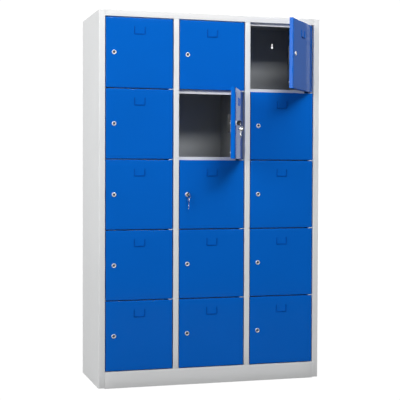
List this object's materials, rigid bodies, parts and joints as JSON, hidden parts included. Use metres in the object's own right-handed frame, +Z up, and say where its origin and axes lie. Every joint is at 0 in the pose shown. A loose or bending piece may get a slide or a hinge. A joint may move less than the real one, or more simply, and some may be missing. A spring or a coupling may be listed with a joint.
{
  "type": "coin operated locker",
  "caption": "Free-standing steel locker with columns of hinged doors, each with a coin-return key lock, two of them standing open.",
  "frame": {"origin": "on the floor, under the centre of the carcass's footprint", "axes": "+Z up; the doors face -Y; +X to the right as seen from the front"},
  "size_m": [1.15, 0.7354, 1.85],
  "materials": {
    "carcass_paint": "light grey powder coat, fine texture, satin",
    "door_paint": "signal blue powder coat, semi-gloss",
    "zinc": "bright zinc plate, satin",
    "lock_housing": "fine-textured black plastic, with a chromed bezel outside the door",
    "lock_chrome": "nickel-plated zinc, bright",
    "key_metal": "nickel silver, lightly scratched"
  },
  "bodies": {
    "carcass": {"side_panels": "carcass_paint", "partitions": "carcass_paint", "top_panel": "carcass_paint", "floor_panel": "carcass_paint", "back_panel": "carcass_paint", "shelves": "carcass_paint", "front_stiles": "carcass_paint", "header_rail": "carcass_paint", "plinth": "carcass_paint", "base_frame": "zinc", "hinge_pins": "zinc"},
    "door_r1c1": {"door_r1c1": "door_paint", "coin_lock_r1c1": "lock_housing"},
    "lock_plug_r1c1": {"lock_plug_r1c1": "lock_chrome"},
    "door_r1c2": {"door_r1c2": "door_paint", "coin_lock_r1c2": "lock_housing"},
    "lock_plug_r1c2": {"lock_plug_r1c2": "lock_chrome"},
    "door_r1c3": {"door_r1c3": "door_paint", "coin_lock_r1c3": "lock_housing"},
    "lock_plug_r1c3": {"lock_plug_r1c3": "lock_chrome"},
    "door_r2c1": {"door_r2c1": "door_paint", "coin_lock_r2c1": "lock_housing"},
    "lock_plug_r2c1": {"lock_plug_r2c1": "lock_chrome"},
    "door_r2c2": {"door_r2c2": "door_paint", "coin_lock_r2c2": "lock_housing"},
    "lock_plug_r2c2": {"lock_plug_r2c2": "lock_chrome", "key_r2c2": "key_metal"},
    "door_r2c3": {"door_r2c3": "door_paint", "coin_lock_r2c3": "lock_housing"},
    "lock_plug_r2c3": {"lock_plug_r2c3": "lock_chrome"},
    "door_r3c1": {"door_r3c1": "door_paint", "coin_lock_r3c1": "lock_housing"},
    "lock_plug_r3c1": {"lock_plug_r3c1": "lock_chrome"},
    "door_r3c2": {"door_r3c2": "door_paint", "coin_lock_r3c2": "lock_housing"},
    "lock_plug_r3c2": {"lock_plug_r3c2": "lock_chrome", "key_r3c2": "key_metal"},
    "door_r3c3": {"door_r3c3": "door_paint", "coin_lock_r3c3": "lock_housing"},
    "lock_plug_r3c3": {"lock_plug_r3c3": "lock_chrome"},
    "door_r4c1": {"door_r4c1": "door_paint", "coin_lock_r4c1": "lock_housing"},
    "lock_plug_r4c1": {"lock_plug_r4c1": "lock_chrome"},
    "door_r4c2": {"door_r4c2": "door_paint", "coin_lock_r4c2": "lock_housing"},
    "lock_plug_r4c2": {"lock_plug_r4c2": "lock_chrome"},
    "door_r4c3": {"door_r4c3": "door_paint", "coin_lock_r4c3": "lock_housing"},
    "lock_plug_r4c3": {"lock_plug_r4c3": "lock_chrome"},
    "door_r5c1": {"door_r5c1": "door_paint", "coin_lock_r5c1": "lock_housing"},
    "lock_plug_r5c1": {"lock_plug_r5c1": "lock_chrome"},
    "door_r5c2": {"door_r5c2": "door_paint", "coin_lock_r5c2": "lock_housing"},
    "lock_plug_r5c2": {"lock_plug_r5c2": "lock_chrome"},
    "door_r5c3": {"door_r5c3": "door_paint", "coin_lock_r5c3": "lock_housing"},
    "lock_plug_r5c3": {"lock_plug_r5c3": "lock_chrome"},
    "spare_keys_r2c2": {"spare_keys_r2c2": "key_metal"},
    "spare_keys_r3c2": {"spare_keys_r3c2": "key_metal"}
  },
  "joints": [
    {"name": "door_r1c1_hinge", "type": "hinge", "parent": "carcass", "child": "door_r1c1", "pos_m": [-0.21873, -0.2155, 1.6452], "axis": [0, 0, 1], "range_deg": [0, 110]},
    {"name": "lock_r1c1_turn", "type": "hinge", "parent": "door_r1c1", "child": "lock_plug_r1c1", "pos_m": [-0.501, -0.225, 1.6452], "axis": [0, 1, 0], "range_deg": [0, 90]},
    {"name": "door_r1c2_hinge", "type": "hinge", "parent": "carcass", "child": "door_r1c2", "pos_m": [0.15393, -0.2155, 1.6452], "axis": [0, 0, 1], "range_deg": [0, 110]},
    {"name": "lock_r1c2_turn", "type": "hinge", "parent": "door_r1c2", "child": "lock_plug_r1c2", "pos_m": [-0.12833, -0.225, 1.6452], "axis": [0, 1, 0], "range_deg": [0, 90]},
    {"name": "door_r1c3_hinge", "type": "hinge", "parent": "carcass", "child": "door_r1c3", "pos_m": [0.5266, -0.2155, 1.6452], "axis": [0, 0, 1], "range_deg": [-51.6, 58.4]},
    {"name": "lock_r1c3_turn", "type": "hinge", "parent": "door_r1c3", "child": "lock_plug_r1c3", "pos_m": [0.35872, -0.44261, 1.6452], "axis": [-0.7837, 0.6211, 0], "range_deg": [0, 90]},
    {"name": "door_r2c1_hinge", "type": "hinge", "parent": "carcass", "child": "door_r2c1", "pos_m": [-0.21873, -0.2155, 1.2981], "axis": [0, 0, 1], "range_deg": [0, 110]},
    {"name": "lock_r2c1_turn", "type": "hinge", "parent": "door_r2c1", "child": "lock_plug_r2c1", "pos_m": [-0.501, -0.225, 1.2981], "axis": [0, 1, 0], "range_deg": [0, 90]},
    {"name": "door_r2c2_hinge", "type": "hinge", "parent": "carcass", "child": "door_r2c2", "pos_m": [0.15393, -0.2155, 1.2981], "axis": [0, 0, 1], "range_deg": [-64.6, 45.4]},
    {"name": "lock_r2c2_turn", "type": "hinge", "parent": "door_r2c2", "child": "lock_plug_r2c2", "pos_m": [0.04144, -0.47456, 1.2981], "axis": [-0.9033, 0.4289, 0], "range_deg": [0, 90]},
    {"name": "door_r2c3_hinge", "type": "hinge", "parent": "carcass", "child": "door_r2c3", "pos_m": [0.5266, -0.2155, 1.2981], "axis": [0, 0, 1], "range_deg": [0, 110]},
    {"name": "lock_r2c3_turn", "type": "hinge", "parent": "door_r2c3", "child": "lock_plug_r2c3", "pos_m": [0.24433, -0.225, 1.2981], "axis": [0, 1, 0], "range_deg": [0, 90]},
    {"name": "door_r3c1_hinge", "type": "hinge", "parent": "carcass", "child": "door_r3c1", "pos_m": [-0.21873, -0.2155, 0.951], "axis": [0, 0, 1], "range_deg": [0, 110]},
    {"name": "lock_r3c1_turn", "type": "hinge", "parent": "door_r3c1", "child": "lock_plug_r3c1", "pos_m": [-0.501, -0.225, 0.951], "axis": [0, 1, 0], "range_deg": [0, 90]},
    {"name": "door_r3c2_hinge", "type": "hinge", "parent": "carcass", "child": "door_r3c2", "pos_m": [0.15393, -0.2155, 0.951], "axis": [0, 0, 1], "range_deg": [0, 110]},
    {"name": "lock_r3c2_turn", "type": "hinge", "parent": "door_r3c2", "child": "lock_plug_r3c2", "pos_m": [-0.12833, -0.225, 0.951], "axis": [0, 1, 0], "range_deg": [0, 90]},
    {"name": "door_r3c3_hinge", "type": "hinge", "parent": "carcass", "child": "door_r3c3", "pos_m": [0.5266, -0.2155, 0.951], "axis": [0, 0, 1], "range_deg": [0, 110]},
    {"name": "lock_r3c3_turn", "type": "hinge", "parent": "door_r3c3", "child": "lock_plug_r3c3", "pos_m": [0.24433, -0.225, 0.951], "axis": [0, 1, 0], "range_deg": [0, 90]},
    {"name": "door_r4c1_hinge", "type": "hinge", "parent": "carcass", "child": "door_r4c1", "pos_m": [-0.21873, -0.2155, 0.6039], "axis": [0, 0, 1], "range_deg": [0, 110]},
    {"name": "lock_r4c1_turn", "type": "hinge", "parent": "door_r4c1", "child": "lock_plug_r4c1", "pos_m": [-0.501, -0.225, 0.6039], "axis": [0, 1, 0], "range_deg": [0, 90]},
    {"name": "door_r4c2_hinge", "type": "hinge", "parent": "carcass", "child": "door_r4c2", "pos_m": [0.15393, -0.2155, 0.6039], "axis": [0, 0, 1], "range_deg": [0, 110]},
    {"name": "lock_r4c2_turn", "type": "hinge", "parent": "door_r4c2", "child": "lock_plug_r4c2", "pos_m": [-0.12833, -0.225, 0.6039], "axis": [0, 1, 0], "range_deg": [0, 90]},
    {"name": "door_r4c3_hinge", "type": "hinge", "parent": "carcass", "child": "door_r4c3", "pos_m": [0.5266, -0.2155, 0.6039], "axis": [0, 0, 1], "range_deg": [0, 110]},
    {"name": "lock_r4c3_turn", "type": "hinge", "parent": "door_r4c3", "child": "lock_plug_r4c3", "pos_m": [0.24433, -0.225, 0.6039], "axis": [0, 1, 0], "range_deg": [0, 90]},
    {"name": "door_r5c1_hinge", "type": "hinge", "parent": "carcass", "child": "door_r5c1", "pos_m": [-0.21873, -0.2155, 0.2568], "axis": [0, 0, 1], "range_deg": [0, 110]},
    {"name": "lock_r5c1_turn", "type": "hinge", "parent": "door_r5c1", "child": "lock_plug_r5c1", "pos_m": [-0.501, -0.225, 0.2568], "axis": [0, 1, 0], "range_deg": [0, 90]},
    {"name": "door_r5c2_hinge", "type": "hinge", "parent": "carcass", "child": "door_r5c2", "pos_m": [0.15393, -0.2155, 0.2568], "axis": [0, 0, 1], "range_deg": [0, 110]},
    {"name": "lock_r5c2_turn", "type": "hinge", "parent": "door_r5c2", "child": "lock_plug_r5c2", "pos_m": [-0.12833, -0.225, 0.2568], "axis": [0, 1, 0], "range_deg": [0, 90]},
    {"name": "door_r5c3_hinge", "type": "hinge", "parent": "carcass", "child": "door_r5c3", "pos_m": [0.5266, -0.2155, 0.2568], "axis": [0, 0, 1], "range_deg": [0, 110]},
    {"name": "lock_r5c3_turn", "type": "hinge", "parent": "door_r5c3", "child": "lock_plug_r5c3", "pos_m": [0.24433, -0.225, 0.2568], "axis": [0, 1, 0], "range_deg": [0, 90]},
    {"name": "spare_keys_r2c2_swing", "type": "hinge", "parent": "lock_plug_r2c2", "child": "spare_keys_r2c2", "pos_m": [0.06285, -0.48472, 1.2981], "axis": [-0.4289, -0.9033, 0], "range_deg": [-12, 60]},
    {"name": "spare_keys_r3c2_swing", "type": "hinge", "parent": "lock_plug_r3c2", "child": "spare_keys_r3c2", "pos_m": [-0.12833, -0.2487, 0.951], "axis": [-1, 0, 0], "range_deg": [-12, 60]}
  ]
}
